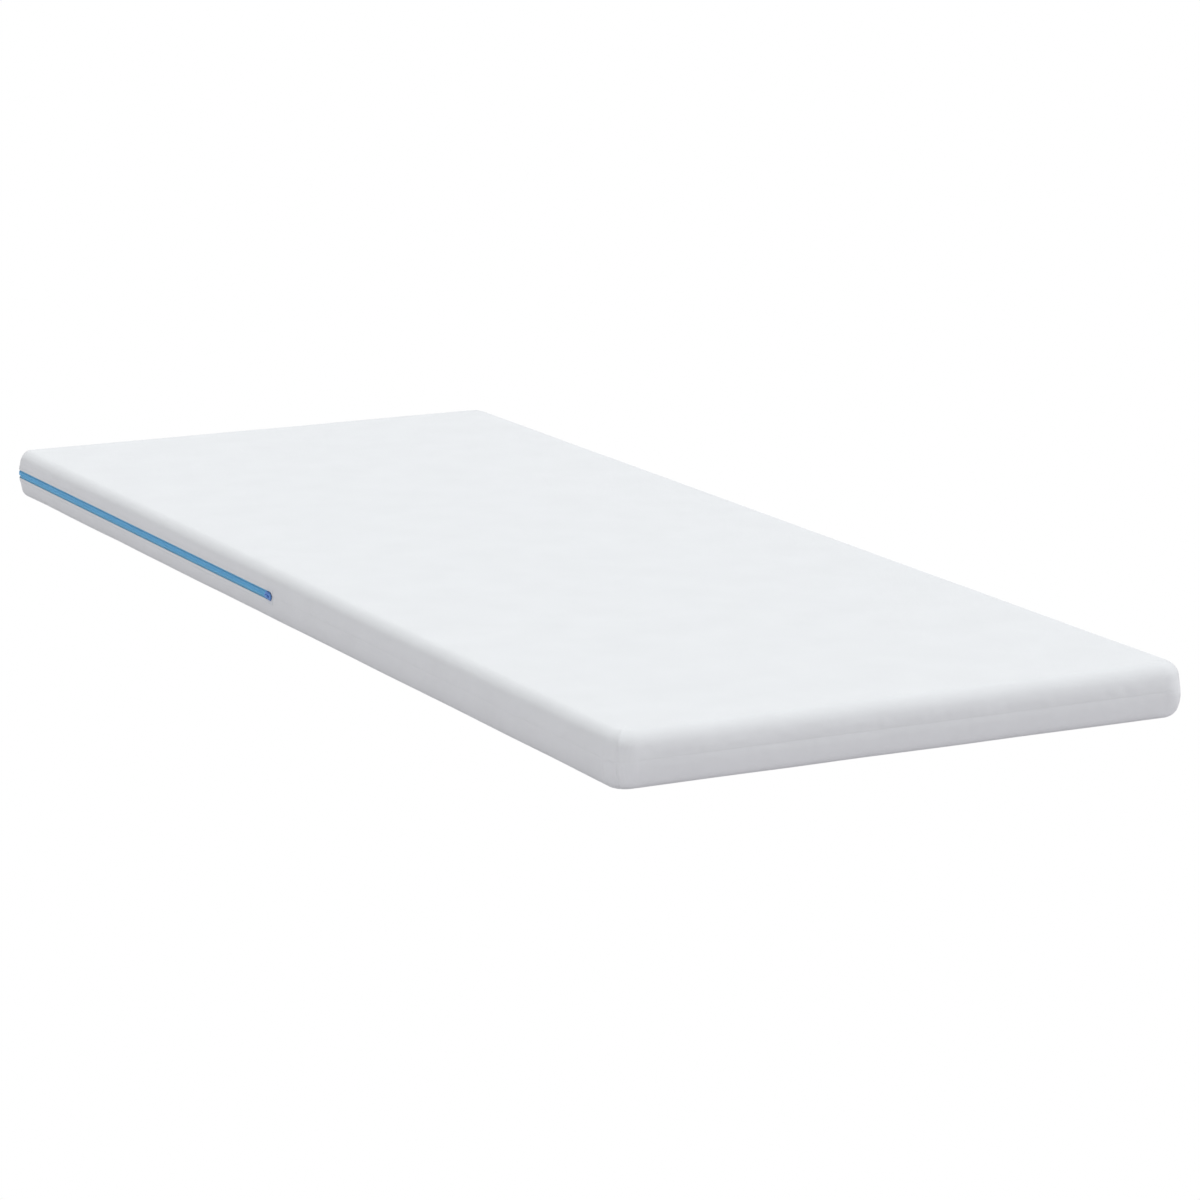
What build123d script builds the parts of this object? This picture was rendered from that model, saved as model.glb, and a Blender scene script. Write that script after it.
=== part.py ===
from build123d import *
import os
from functools import cache
from math import asin, cos, hypot, pi, sin, sqrt

# A memory foam mattress in a zipped cover, in millimetres.
# +Z is up, +Y runs along the bed to the zipped end, and the origin is under the middle.

# Form of the mattress
LENGTH = 2000.0
WIDTH = 800.0
THICKNESS = 70.0
CORNER_RADIUS = 34.0
SIDE_CROWN_RADIUS = 110.0
TOP_EDGE_RADIUS = 20.0
BOTTOM_EDGE_RADIUS = 14.0

# Clearances: layers sewn or glued together, foam in its sock, and the slider in its track
SEATING_GAP = 0.1
FOAM_CLEARANCE = 0.3
RUN_CLEARANCE = 0.3

# Foam and sock
MEMORY_FOAM = 25.0
BOND_FILM = 0.2
SOCK_FABRIC = 0.8

# Cover and its seam
COVER_FABRIC = 2.0
HEM_FABRIC = 1.2
HEM_DEPTH = 7.0
FOLD_RADIUS = 1.2
SEAM_ABOVE_MIDDLE = 1.0
SEAM_THREAD = 0.5
CORNER_THREAD = 0.5
CORNER_LINE_SETBACK = 5.0

# Zip: it runs from half-way along one long side, round the far end, to half-way along the other
ZIP_END = 0.0
ZIP_BAND = 14.0
TAPE_FABRIC = 0.6
TAPE_REACH = 14.0
TAPE_SLOT = 2.6
TAPE_TAIL = 25.0
COIL_WIDTH = 2.9
COIL_DEPTH = 2.2
COIL_MESH_GAP = 0.3
COIL_SPREAD = 1.4

# Stitches beside the zip and across its ends
STITCH_SETBACK = 3.0
STITCH_WIDTH = 0.8
STITCH_DEPTH = 0.4
BARTACK_WIDTH = 1.2
BARTACK_SETBACK = 4.0

# End stops of the zip
STOP_SETBACK = 1.0
STOP_LENGTH = 2.2
STOP_WALL = 0.8
STOP_OVERLAP = 2.6

# Slider
SLIDER_LENGTH = 16.0
SLIDER_PLATE = 1.4
SLIDER_FLANGE = 1.0
SLIDER_THROAT = 7.0
SLIDER_ROUNDING = 1.2
WEDGE_SETBACK = 0.8
WEDGE_LENGTH = 4.5
WEDGE_WIDTH = 2.0
WEDGE_TIP = 0.2
BRIDGE_SETBACK = 3.5
BRIDGE_LENGTH = 9.0
BRIDGE_WIDTH = 2.6
BRIDGE_WALL = 1.2
BRIDGE_LEG = 1.6
BRIDGE_ROUNDING = 1.1
TUNNEL_LENGTH = 4.4

# Pull tab
PIN_DIAMETER = 1.4
PULL_LENGTH = 11.5
PULL_EYE_WIDTH = 6.6
PULL_TIP_WIDTH = 9.0
PULL_ROUNDING = 3.0

# Heights and depths worked out from the sizes above; a depth is measured inwards from the side
seam = THICKNESS / 2 + SEAM_ABOVE_MIDDLE
crown_centre = (CORNER_RADIUS - SIDE_CROWN_RADIUS, seam)
hem_inner = COVER_FABRIC + HEM_FABRIC
tape_outer = hem_inner + SEATING_GAP
tape_inner = tape_outer + TAPE_FABRIC
coil_inner = tape_outer - SEATING_GAP
coil_outer = coil_inner - COIL_DEPTH
plate_inner = coil_outer - RUN_CLEARANCE
plate_outer = plate_inner - SLIDER_PLATE
back_plate_outer = tape_inner + RUN_CLEARANCE
back_plate_inner = back_plate_outer + SLIDER_PLATE
sock_outer = back_plate_inner + RUN_CLEARANCE
sock_inner = sock_outer + SOCK_FABRIC
foam_side = sock_inner + FOAM_CLEARANCE

# The same through the flat faces
sock_flat = COVER_FABRIC + SEATING_GAP
sock_flat_inner = sock_flat + SOCK_FABRIC
foam_flat = sock_flat_inner + SEATING_GAP
foam_joint = THICKNESS - foam_flat - MEMORY_FOAM

# Places along and across the zip
coil_low = COIL_MESH_GAP / 2
coil_high = coil_low + COIL_WIDTH
stitch_low = ZIP_BAND / 2 + STITCH_SETBACK
stitch_high = stitch_low + STITCH_WIDTH
stop_start = ZIP_END + STOP_SETBACK
stop_end = stop_start + STOP_LENGTH
slider_nose = stop_end + RUN_CLEARANCE
throat_end = slider_nose + SLIDER_THROAT


def room(x_span, y_span, z_span):
    """A box from its lowest and highest values along each axis."""
    low, high = zip(x_span, y_span, z_span)
    size = [b - a for a, b in zip(low, high)]
    middle = [(a + b) / 2 for a, b in zip(low, high)]
    return Pos(*middle) * Box(*size)


def on_circle(centre, radius, angle):
    """The point of a circle at an angle."""
    return centre[0] + radius * cos(angle), centre[1] + radius * sin(angle)


def edge_round(way, side, flat):
    """Centre, radius and first angle of the rounding from the crowned wall to the top or the underside."""
    radius = (TOP_EDGE_RADIUS if way > 0 else BOTTOM_EDGE_RADIUS) - side
    rise = (THICKNESS - seam if way > 0 else seam) - flat
    centre_reach = SIDE_CROWN_RADIUS - side - radius
    angle = way * asin((rise - radius) / centre_reach)
    return on_circle(crown_centre, centre_reach, angle), radius, angle


def side_section(side, flat):
    """The cross-section of a side, from the corner's centre to its rounded edges and crowned wall."""
    rounds = []
    for way in (-1, 1):
        centre, radius, angle = edge_round(way, side, flat)
        turn = [on_circle(centre, radius, a) for a in (angle, (angle + way * pi / 2) / 2, way * pi / 2)]
        rounds.append(turn)
    bottom, top = rounds
    crown = on_circle(crown_centre, SIDE_CROWN_RADIUS - side, 0)
    outline = ThreePointArc(*bottom) + ThreePointArc(bottom[0], crown, top[0])
    outline += ThreePointArc(*top) + Polyline(top[-1], (0, THICKNESS - flat), (0, flat), bottom[-1])
    return Plane.XZ * make_face(outline)


@cache
def form(side, flat):
    """The mattress form, drawn in by one depth on its sides and by another on its flat faces."""
    section = side_section(side, flat)
    half_x = WIDTH / 2 - CORNER_RADIUS
    half_y = LENGTH / 2 - CORNER_RADIUS
    sides = ((0, half_x, half_y), (90, half_y, half_x), (180, half_x, half_y), (270, half_y, half_x))
    rim = []
    for turn, out, along in sides:
        wall = Pos(out, 0, 0) * extrude(section, along, both=True)
        corner = Pos(out, along, 0) * revolve(section, Axis.Z, 90)
        rim += [Rot(0, 0, turn) * wall, Rot(0, 0, turn) * corner]
    return room((-half_x, half_x), (-half_y, half_y), (flat, THICKNESS - flat)) + rim


def band(outer, inner, y_span, low, high):
    """The layer of the form between two depths, over a length and between two heights from the seam."""
    layer = form(outer, outer) - form(inner, inner)
    return layer & room((-WIDTH, WIDTH), y_span, (seam + low, seam + high))


def side_heights(way, low, high):
    """Two distances from the seam as heights, upwards for way 1 and downwards for way -1."""
    return sorted((way * low, way * high))


def plan_depth(point):
    """How far a point lies inside the outline of the plan."""
    past_x = abs(point.X) - WIDTH / 2 + CORNER_RADIUS
    past_y = abs(point.Y) - LENGTH / 2 + CORNER_RADIUS
    reach = hypot(max(past_x, 0), max(past_y, 0)) + min(max(past_x, past_y), 0)
    return CORNER_RADIUS - reach


# Foam and sock

def support_foam_core():
    """The firmer lower layer, cut flat where the memory foam is glued on."""
    top = foam_joint - BOND_FILM - 2 * SEATING_GAP
    return form(foam_side, foam_flat) & room((-WIDTH, WIDTH), (-LENGTH, LENGTH), (0, top))


def memory_foam_layer():
    """The soft upper layer."""
    return form(foam_side, foam_flat) & room((-WIDTH, WIDTH), (-LENGTH, LENGTH), (foam_joint, THICKNESS))


def foam_bond_film():
    """The adhesive film between the two foams."""
    top = foam_joint - SEATING_GAP
    whole = form(foam_side, foam_flat)
    return whole & room((-WIDTH, WIDTH), (-LENGTH, LENGTH), (top - BOND_FILM, top))


def inner_sock():
    """The thin closed sleeve round both foams."""
    return form(sock_outer, sock_flat) - form(sock_inner, sock_flat_inner)


# Cover

def cover_half(way):
    """One half of the cover: flat sheet, side wall, and the edge turned in along the seam and the zip."""
    kept = []
    hollow = []
    for start, end, edge in ((-LENGTH, ZIP_END, SEATING_GAP / 2), (ZIP_END, LENGTH, ZIP_BAND / 2)):
        for spaces, rise in ((kept, edge), (hollow, edge + HEM_DEPTH)):
            low, high = side_heights(way, rise, THICKNESS)
            spaces.append(room((-WIDTH, WIDTH), (start, end), (seam + low, seam + high)))
    half = form(0, 0) & (kept[0] + kept[1])
    half -= form(hem_inner, COVER_FABRIC)
    half -= form(COVER_FABRIC, COVER_FABRIC) & (hollow[0] + hollow[1])
    return fillet(fold_edges(half, way), FOLD_RADIUS)


def fold_edges(half, way):
    """The outer edges of a half along its seam and its zip, where the fabric folds in."""
    levels = [seam + way * rise for rise in (SEATING_GAP / 2, ZIP_BAND / 2)]
    folds = []
    for edge in half.edges():
        point = edge @ 0.5
        on_level = min(abs(point.Z - level) for level in levels) < SEATING_GAP / 4
        if on_level and plan_depth(point) < COVER_FABRIC / 2 and edge.length > ZIP_BAND:
            folds.append(edge)
    return folds


def cover_seam_thread():
    """The thread that lies in the groove between the two folds of the seam."""
    reach = FOLD_RADIUS - SEAM_THREAD / 2
    depth = FOLD_RADIUS - sqrt(FOLD_RADIUS ** 2 - reach ** 2)
    return band(depth - SEAM_THREAD, depth, (-LENGTH, ZIP_END), -SEAM_THREAD / 2, SEAM_THREAD / 2)


def corner_stitching(way):
    """The sewn line down each corner of one half, which ends low on the rounding before the flat sheet."""
    outside = -SEATING_GAP - CORNER_THREAD
    layer = form(outside, outside) - form(-SEATING_GAP, -SEATING_GAP)
    round_centre, _, _ = edge_round(way, 0, 0)
    inset = round_centre[0] + CORNER_LINE_SETBACK
    lines = []
    for x_way, y_way, turn in ((1, 1, 45), (-1, 1, 135), (-1, -1, 225), (1, -1, 315)):
        start = stitch_high + SEATING_GAP if y_way > 0 else FOLD_RADIUS + SEATING_GAP
        low, high = side_heights(way, start, THICKNESS)
        centre = Pos(x_way * (WIDTH / 2 - CORNER_RADIUS), y_way * (LENGTH / 2 - CORNER_RADIUS), 0)
        slice_span = (-CORNER_THREAD / 2, CORNER_THREAD / 2)
        cut = room((inset, 2 * CORNER_RADIUS), slice_span, (seam + low, seam + high))
        lines.append(layer & centre * Rot(0, 0, turn) * cut)
    return lines


# Zip

def zip_tape(way):
    """One woven tape, sewn behind the hem, with a tail past each end of the opening."""
    low, high = side_heights(way, TAPE_SLOT / 2, TAPE_REACH)
    return band(tape_outer, tape_inner, (ZIP_END - TAPE_TAIL, LENGTH), low, high)


def zip_coil(way):
    """One coil as a bead on its tape, led aside at the slider's wedge and square at the other end."""
    low, high = side_heights(way, coil_low, coil_high)
    bead = band(coil_outer, coil_inner, (stop_end, LENGTH), low, high)
    bead -= room((-WIDTH, 0), (0, throat_end), (0, THICKNESS))
    corners = (
        (throat_end, coil_low),
        (throat_end, coil_high),
        (stop_end, coil_high + COIL_SPREAD),
        (stop_end, coil_low + COIL_SPREAD),
    )
    lead = Polygon(*[(along - slider_nose, -way * across) for along, across in corners], align=None)
    return bead + slider_frame * layer_of(lead, -coil_inner, -coil_outer)


def zip_stitching(way):
    """The stitch line that holds one tape to its hem."""
    low, high = side_heights(way, stitch_low, stitch_high)
    y_span = (ZIP_END - BARTACK_SETBACK + SEATING_GAP, LENGTH)
    return band(-SEATING_GAP - STITCH_DEPTH, -SEATING_GAP, y_span, low, high)


def zip_end_bartacks():
    """The bar of stitches across each end of the zip."""
    y_span = (ZIP_END - BARTACK_SETBACK - BARTACK_WIDTH, ZIP_END - BARTACK_SETBACK)
    return band(-SEATING_GAP - STITCH_DEPTH, -SEATING_GAP, y_span, -stitch_high, stitch_high)


def tape_clamp(x_way, low, high):
    """A clamp across the tapes on one long side, open where the tapes pass through it."""
    outer = WIDTH / 2 - coil_inner + STOP_WALL
    inner = WIDTH / 2 - tape_inner - SEATING_GAP - STOP_WALL
    y_span = (stop_start, stop_end - SEATING_GAP)
    block = room(sorted((x_way * outer, x_way * inner)), y_span, (seam + low, seam + high))
    slit = sorted((x_way * (WIDTH / 2 - coil_inner), x_way * (WIDTH / 2 - tape_inner - SEATING_GAP)))
    for way in (1, -1):
        gap_low, gap_high = side_heights(way, TAPE_SLOT / 2 - SEATING_GAP, TAPE_REACH)
        block -= room(slit, y_span, (seam + gap_low, seam + gap_high))
    return block


def zip_top_stops():
    """The two clamps that stop the slider, one on each tape's edge."""
    inner_edge = TAPE_SLOT / 2 - STOP_WALL
    outer_edge = TAPE_SLOT / 2 + STOP_OVERLAP
    return [tape_clamp(-1, *side_heights(way, inner_edge, outer_edge)) for way in (1, -1)]


def zip_bottom_stop():
    """The clamp that holds both tapes together at the other end."""
    reach = TAPE_SLOT / 2 + STOP_OVERLAP
    return tape_clamp(1, -reach, reach)


# Slider and pull, drawn in a frame with X along the zip from the nose, Y across and Z outwards

slider_frame = Plane(origin=(-WIDTH / 2, slider_nose, seam), x_dir=(0, 1, 0), z_dir=(-1, 0, 0))
channel_tail = coil_high + RUN_CLEARANCE
channel_nose = channel_tail + COIL_SPREAD
pin_height = RUN_CLEARANCE + PIN_DIAMETER / 2 - plate_outer
pin_place = BRIDGE_SETBACK + BRIDGE_LEG + RUN_CLEARANCE + PIN_DIAMETER / 2
bridge_top = PIN_DIAMETER + 2 * RUN_CLEARANCE + BRIDGE_WALL - plate_outer
bridge_end = BRIDGE_SETBACK + BRIDGE_LENGTH


def slider_outline(half_nose, half_tail):
    """A plate that is wide at the nose and narrows to the tail behind the throat."""
    edge = ((0, half_nose), (SLIDER_THROAT, half_tail), (SLIDER_LENGTH, half_tail))
    other_edge = [(along, -across) for along, across in reversed(edge)]
    return Polygon(*edge, *other_edge, align=None)


def layer_of(outline, low, high):
    """An outline in the slider's frame, made solid between two heights."""
    return Pos(0, 0, low) * extrude(outline, high - low, dir=(0, 0, 1))


def zip_slider_body():
    """Front plate with flanges, back plate, the wedge that joins them, and the bridge for the pull."""
    plate = slider_outline(channel_nose + SLIDER_FLANGE, channel_tail + SLIDER_FLANGE)
    plate = fillet(plate.vertices(), SLIDER_ROUNDING)
    channel = slider_outline(channel_nose, channel_tail)
    body = layer_of(plate, -plate_inner, -plate_outer)
    body += layer_of(plate - channel, -tape_outer + RUN_CLEARANCE, -plate_inner)
    body += layer_of(plate, -back_plate_inner, -back_plate_outer)
    wedge_end = WEDGE_SETBACK + WEDGE_LENGTH
    wedge_edge = ((WEDGE_SETBACK, WEDGE_WIDTH / 2), (wedge_end, WEDGE_TIP / 2))
    wedge_back = [(along, -across) for along, across in reversed(wedge_edge)]
    wedge = Polygon(*wedge_edge, *wedge_back, align=None)
    body += layer_of(wedge, -back_plate_outer, -plate_inner)
    bridge_half = BRIDGE_WIDTH / 2
    bridge = room((BRIDGE_SETBACK, bridge_end), (-bridge_half, bridge_half), (-plate_outer, bridge_top))
    crown = bridge.faces().sort_by(Axis.Z)[-1].edges().filter_by(Axis.Y)
    bridge = fillet(crown, BRIDGE_ROUNDING)
    tunnel_start = BRIDGE_SETBACK + BRIDGE_LEG
    tunnel_span = (tunnel_start, tunnel_start + TUNNEL_LENGTH)
    bridge -= room(tunnel_span, (-BRIDGE_WIDTH, BRIDGE_WIDTH), (-plate_outer, bridge_top - BRIDGE_WALL))
    return slider_frame * (body + bridge)


def zip_pull_tab():
    """The pull: a tab with a window for the bridge and a round cross-bar that turns under it."""
    tip = pin_place - PULL_LENGTH
    edge = ((pin_place, PULL_EYE_WIDTH / 2), (tip, PULL_TIP_WIDTH / 2))
    other_edge = [(along, -across) for along, across in reversed(edge)]
    outline = Polygon(*edge, *other_edge, align=None)
    outline = fillet(outline.vertices().sort_by(Axis.X)[:2], PULL_ROUNDING)
    tab = layer_of(outline, pin_height - PIN_DIAMETER / 2, pin_height + PIN_DIAMETER / 2)
    window_reach = hypot(bridge_end - pin_place, bridge_top - pin_height) + RUN_CLEARANCE
    window_half = BRIDGE_WIDTH / 2 + RUN_CLEARANCE
    tab -= room((pin_place - window_reach, pin_place), (-window_half, window_half), (0, 2 * bridge_top))
    bar = Rot(90, 0, 0) * Cylinder(PIN_DIAMETER / 2, PULL_EYE_WIDTH)
    return slider_frame * (tab + Pos(pin_place, 0, pin_height) * bar)


# Every node by name

def solids_of(piece):
    """The solids of one shape, or of a list of shapes."""
    shapes = piece if isinstance(piece, list) else [piece]
    return [solid for shape in shapes for solid in shape.solids()]


nodes = {
    "support_foam_core": support_foam_core(),
    "memory_foam_layer": memory_foam_layer(),
    "foam_bond_film": foam_bond_film(),
    "inner_sock": inner_sock(),
    "cover_top": cover_half(1),
    "cover_bottom": cover_half(-1),
    "cover_seam_thread": cover_seam_thread(),
    "corner_stitching_top": corner_stitching(1),
    "corner_stitching_bottom": corner_stitching(-1),
    "zip_tape_upper": zip_tape(1),
    "zip_tape_lower": zip_tape(-1),
    "zip_coil_upper": zip_coil(1),
    "zip_coil_lower": zip_coil(-1),
    "zip_stitching_upper": zip_stitching(1),
    "zip_stitching_lower": zip_stitching(-1),
    "zip_end_bartacks": zip_end_bartacks(),
    "zip_top_stops": zip_top_stops(),
    "zip_bottom_stop": zip_bottom_stop(),
    "zip_slider_body": zip_slider_body(),
    "zip_pull_tab": zip_pull_tab(),
}

os.makedirs("parts", exist_ok=True)
for name, piece in nodes.items():
    export_step(Compound(label=name, children=solids_of(piece)), f"parts/{name}.step")
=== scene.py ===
import math

import bpy
import numpy as np
from mathutils import Matrix, Vector, noise
from mathutils.bvhtree import BVHTree
from mathutils.interpolate import poly_3d_calc


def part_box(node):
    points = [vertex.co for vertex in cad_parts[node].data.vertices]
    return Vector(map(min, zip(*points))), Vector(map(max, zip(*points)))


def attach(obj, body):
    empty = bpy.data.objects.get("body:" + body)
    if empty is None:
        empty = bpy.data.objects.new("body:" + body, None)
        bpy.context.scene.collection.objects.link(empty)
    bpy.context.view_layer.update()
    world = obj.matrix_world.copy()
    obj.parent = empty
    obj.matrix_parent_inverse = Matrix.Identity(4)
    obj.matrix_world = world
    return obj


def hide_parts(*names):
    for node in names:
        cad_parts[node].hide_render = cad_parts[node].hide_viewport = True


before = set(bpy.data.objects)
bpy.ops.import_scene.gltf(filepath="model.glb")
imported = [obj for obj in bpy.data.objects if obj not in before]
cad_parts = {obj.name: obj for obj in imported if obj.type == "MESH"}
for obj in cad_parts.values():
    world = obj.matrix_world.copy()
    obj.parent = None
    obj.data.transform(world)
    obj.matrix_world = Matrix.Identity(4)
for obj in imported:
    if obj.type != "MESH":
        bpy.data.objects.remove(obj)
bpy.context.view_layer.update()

# A memory foam mattress in a zipped cover, in metres: +Z up, +Y to the zipped end, origin under the middle
UPPER = 1
LOWER = -1

# Depths inwards from the side, as in the part
FOAM_DEPTH = 0.0070
SOCK_DEPTH = 0.0063
COIL_INNER = 0.0032
TAPE_INNER = 0.0039

# Places read from the frame
CORE_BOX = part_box("support_foam_core")
HALF_WIDTH = CORE_BOX[1][0] + FOAM_DEPTH
HALF_LENGTH = CORE_BOX[1][1] + FOAM_DEPTH
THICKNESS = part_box("cover_top")[1][2]
SEAM = (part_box("cover_top")[0][2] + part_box("cover_bottom")[1][2]) / 2
COIL_OUTER = HALF_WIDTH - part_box("zip_coil_upper")[1][0]
COIL_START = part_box("zip_coil_upper")[0][1]
TAPE_OUTER = HALF_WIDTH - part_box("zip_tape_upper")[1][0]
TAPE_RISE = [edge[2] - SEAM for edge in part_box("zip_tape_upper")]
TAPE_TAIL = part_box("zip_tape_upper")[0][1]
STITCH_RISE = sum(edge[2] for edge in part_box("zip_stitching_upper")) / 2 - SEAM
STITCH_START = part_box("zip_stitching_upper")[0][1]
BARTACK_SPAN = [edge[1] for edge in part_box("zip_end_bartacks")]
BARTACK_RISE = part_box("zip_end_bartacks")[1][2] - SEAM
CORE_LOW, CORE_TOP = [edge[2] for edge in CORE_BOX]
MEMORY_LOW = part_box("memory_foam_layer")[0][2]
FILM_HEIGHT = sum(edge[2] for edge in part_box("foam_bond_film")) / 2
SOCK_LOW, SOCK_HIGH = [edge[2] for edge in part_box("inner_sock")]

# Sizes of the form that no box gives
CORNER = 0.034  # radius of the corners in plan
CROWN = 0.110  # radius of the bulging sides
EDGE = {UPPER: 0.020, LOWER: 0.014}  # radius of the edges
ZIP_END = 0.0  # where the zip ends along both long sides
ZIP_GAP = {UPPER: 0.0057, LOWER: 0.0064}  # from the seam to the cover's edge beside the zip
SPINE_X = HALF_WIDTH - CORNER
SPINE_Y = HALF_LENGTH - CORNER

# Edge of the cover, and the rounded end of the slot that the zip lies in
HEM_DEPTH = 0.0070
SEWN_GAP = 0.00005
SEWN_FOLD = 0.0003
ZIP_FOLD = 0.0008
SLOT_ROUNDING = 0.0050

# Swelling of the cover: its slack walls fill out, within limits, between its flat face and its fold
SWELL_ROOM = 0.0004
FOLD_DRAWN_IN = 0.0003
SWELL_LIMITS = (-0.0005, 0.0006)
SWELL_FRAMES = 20
CLOTH = {
    "quality": 6,
    "mass": 0.4,
    "tension_stiffness": 60,
    "compression_stiffness": 60,
    "shear_stiffness": 20,
    "bending_stiffness": 4,
    "use_pressure": True,
    "uniform_pressure_force": 4,
}

# Creases of the cover: heights, reaches from its fold, and cells of noise to the metre
PUCKER = 0.0005
PUCKER_REACH = 0.006
PUCKER_CELLS = 70
WAVE = 0.0004
WAVE_REACH = 0.020
WAVE_CELLS = 9
END_LIP = 0.00022
END_LIP_REACH = 0.0075

# Corners of the cover: a peak over the upper ones, a groove along each seam, and how far they fill out
CORNER_PEAK = 0.0020
CORNER_PEAK_RISE = (0.006, 0.022)
CORNER_PEAK_POWER = 6
CORNER_GROOVE = 0.0005
CORNER_GROOVE_SHARE = 0.03
SEWN_CORNER_FULL = 0.0034
SEWN_CORNER_MIDDLE = 0.023
SEWN_CORNER_SPREAD = 0.024
ZIP_CORNER_FULL = 0.0025
ZIP_CORNER_SPREAD = 0.012

# Sheets: lines across, lines along, parts on the walls for each step between lines, steps round a corner
COVER_COUNTS = (72, 192, 4, 26)
SWELL_COUNTS = (36, 96, 2, 6)
INSIDE_COUNTS = (36, 96, 1, 8)
SLOT_LINES = 4
CORNER_CLOSENESS = 1.5  # over 1, the columns gather by the corner seams

# Sections: steps up the wall and over the edge, rings on the flat face, steps round the fold
COVER_STEPS = (7, 12)
SWELL_STEPS = (4, 6)
INSIDE_STEPS = (8, 10)
CORNER_LINE_STEPS = (40, 60)
FLAT_RINGS = (0.66, 0.33)  # as shares of the reach where the flat face begins
FOLD_STEPS = 8

# Stitches
THREAD = 0.00028
THREAD_SIDES = 6
STITCH_PITCH = 0.0036
STITCH_LENGTH = 0.0030
STITCH_ARCH = 0.00025
STITCH_TAPER = (0.45, 0.9, 1.0, 0.9, 0.45)
STITCH_STEPS = np.linspace(-1, 1, len(STITCH_TAPER))
STITCH_BOW = 1 - STITCH_STEPS ** 2
BARTACK_PITCH = 0.0007
SEAT_REACH = 0.010  # a stitch looks for the cover from this far outside its place
CORNER_LINE_SETBACK = 0.0050  # from the flat face to the end of a corner's stitches
CORNER_LINE_RISE = {"zipped": STITCH_RISE + 0.0020, "sewn": SEWN_FOLD + 0.0015}  # where they start

# Seam thread, deep between the two folds, in ladder stitches that lap a little
LADDER_THREAD = 0.00025
LADDER_PITCH = 0.0030
LADDER_LENGTH = 0.0034
LADDER_DEPTH = FOLD_DRAWN_IN + 0.00020
LADDER_ARCH = 0.00010
LADDER_SLANT = 0.00008

# Coils, tapes and metal of the zip
COIL_PITCH = 0.0015
COIL_WIRE = 0.00040
COIL_SIDES = 5
COIL_TURN_STEPS = 9
COIL_RISE = (-0.00030, 0.00275)
COIL_SPREAD = 0.0014
COIL_SPREAD_END = 0.0105
TAPE_STEPS = 900
TAPE_EDGE_STEPS = 5
TAPE_FACE_STEPS = 8
SOFT_EDGE = 0.00015
SOFT_EDGE_SEGMENTS = 2


# Places on the form: a spine rectangle, a direction outwards from it and a reach along that direction

def side_runs():
    """Straight runs and corners in order, from the zip's end on the left side round by the far end."""
    turns = [(-SPINE_X, SPINE_Y), (SPINE_X, SPINE_Y), (SPINE_X, -SPINE_Y), (-SPINE_X, -SPINE_Y)]
    points = [(-SPINE_X, ZIP_END), *turns, (-SPINE_X, ZIP_END)]
    runs = []
    angle = math.pi
    for start, end in zip(points, points[1:]):
        runs.append((start, end, angle, angle, math.dist(start, end)))
        if end in turns:
            runs.append((end, end, angle, angle - math.pi / 2, CORNER * math.pi / 2))
            angle -= math.pi / 2
    return runs


RUNS = side_runs()
AROUND = sum(length for *_, length in RUNS)
ZIP_LENGTH = AROUND / 2


def walk(distance):
    """Spine points and outward directions at distances along the side from the zip's end on the left."""
    distance = np.asarray(distance, float) % AROUND
    base = np.zeros((len(distance), 2))
    angle = np.zeros(len(distance))
    begun = 0.0
    for start, end, angle_from, angle_to, length in RUNS:
        inside = (distance >= begun) & (distance <= begun + length)
        share = (distance[inside] - begun) / length
        base[inside] = np.outer(1 - share, start) + np.outer(share, end)
        angle[inside] = angle_from + (angle_to - angle_from) * share
        begun += length
    return base, np.stack([np.cos(angle), np.sin(angle)], axis=1)


def outward(distance):
    """Level outward directions at distances along the side."""
    distance = np.asarray(distance, float)
    out = walk(distance.ravel())[1]
    return np.column_stack([out, np.zeros(len(out))]).reshape(*distance.shape, 3)


def corner_share(out):
    """1 where an outward direction lies along a corner's seam, falling to 0 where it is square to a side."""
    turned = np.degrees(np.arctan2(abs(out[..., 1]), abs(out[..., 0])))
    return 1 - abs(turned - 45) / 45


def fullness(base, out, height):
    """How far the filled corners stand out past the plain form."""
    zipped = base[..., 1] > ZIP_END
    most = np.where(zipped, ZIP_CORNER_FULL, SEWN_CORNER_FULL)
    middle = np.where(zipped, SEAM, SEWN_CORNER_MIDDLE)
    spread = np.where(zipped, ZIP_CORNER_SPREAD, SEWN_CORNER_SPREAD)
    return most * np.exp(-np.square((height - middle) / spread)) * np.sin(math.pi / 2 * corner_share(out))


def place(distance, reach, height):
    """Points at distances along the side, reaches from the spine and heights."""
    distance, reach, height = np.broadcast_arrays(distance, reach, height)
    base, out = walk(distance.ravel())
    full = reach.ravel() + fullness(base, out, height.ravel())
    plan = base + out * full[:, None]
    return np.column_stack([plan, height.ravel()]).reshape(*distance.shape, 3)


def wall_reach(rise, depth=0.0):
    """Reach of the crowned wall at a rise from the seam, or of a layer at a depth inside it."""
    return CORNER - CROWN + np.sqrt((CROWN - depth) ** 2 - np.square(rise))


# Meshes

def make(name, points, faces, uv=None):
    """A smooth mesh object; uv gives each point, or each face corner, a place in metres for its weave."""
    mesh = bpy.data.meshes.new(name)
    mesh.from_pydata(np.asarray(points).tolist(), [], [list(face) for face in faces])
    if uv is not None:
        corners = np.zeros(len(mesh.loops), int)
        mesh.loops.foreach_get("vertex_index", corners)
        values = uv(mesh, corners) if callable(uv) else np.asarray(uv)[corners]
        layer = mesh.uv_layers.new(name="weave")
        layer.uv.foreach_set("vector", np.ascontiguousarray(values, np.float32).ravel())
    mesh.shade_smooth()
    piece = bpy.data.objects.new(name, mesh)
    bpy.context.scene.collection.objects.link(piece)
    return piece


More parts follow.
